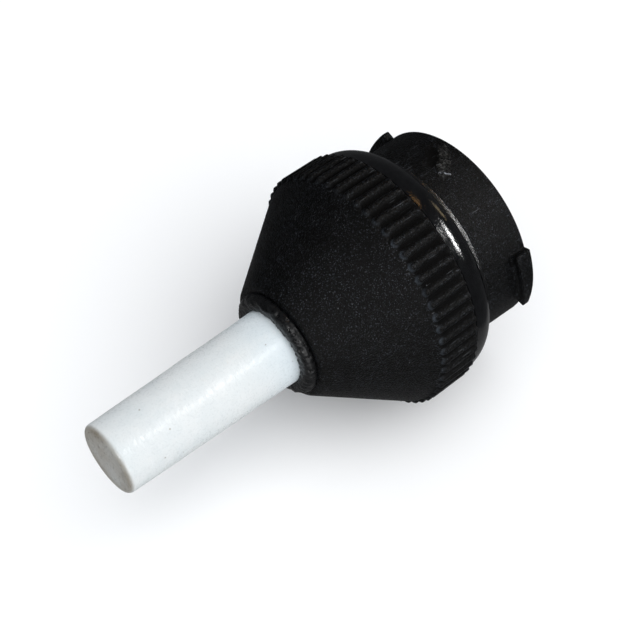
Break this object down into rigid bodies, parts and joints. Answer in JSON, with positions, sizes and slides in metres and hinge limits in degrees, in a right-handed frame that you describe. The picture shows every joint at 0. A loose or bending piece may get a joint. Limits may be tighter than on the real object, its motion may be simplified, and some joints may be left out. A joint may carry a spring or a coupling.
{
  "type": "pneumatic muffler",
  "caption": "Conical exhaust muffler: a ribbed hand grip and bayonet spigot at one end, a replaceable porous silencer element in a rubber bush at the other.",
  "frame": {"origin": "centre of the spigot's open rim, on the muffler's axis", "axes": "+X along the axis out of the spigot, towards the machine's socket; the element points to -X; +Z points to the index mark, so the part lies on its side"},
  "size_m": [0.0733, 0.044, 0.044],
  "materials": {
    "hood_plastic": "fine spark-eroded grain, slightly rubbed on the rib tops",
    "spigot_plastic": "fine grain on the spigot, polished flange edge",
    "grommet_rubber": "uneven moulded rubber, dimpled and a little shiny",
    "porous_plastic": "sintered white plastic, softly glossy, slightly soiled at the tip"
  },
  "bodies": {
    "housing": {"hood": "hood_plastic", "bayonet_spigot": "spigot_plastic", "neck_grommet": "grommet_rubber"},
    "element": {"silencer_element": "porous_plastic"}
  },
  "joints": [
    {"name": "element_pull", "type": "slide", "parent": "housing", "child": "element", "axis": [-1, 0, 0], "range_m": [0, 0.012]}
  ]
}
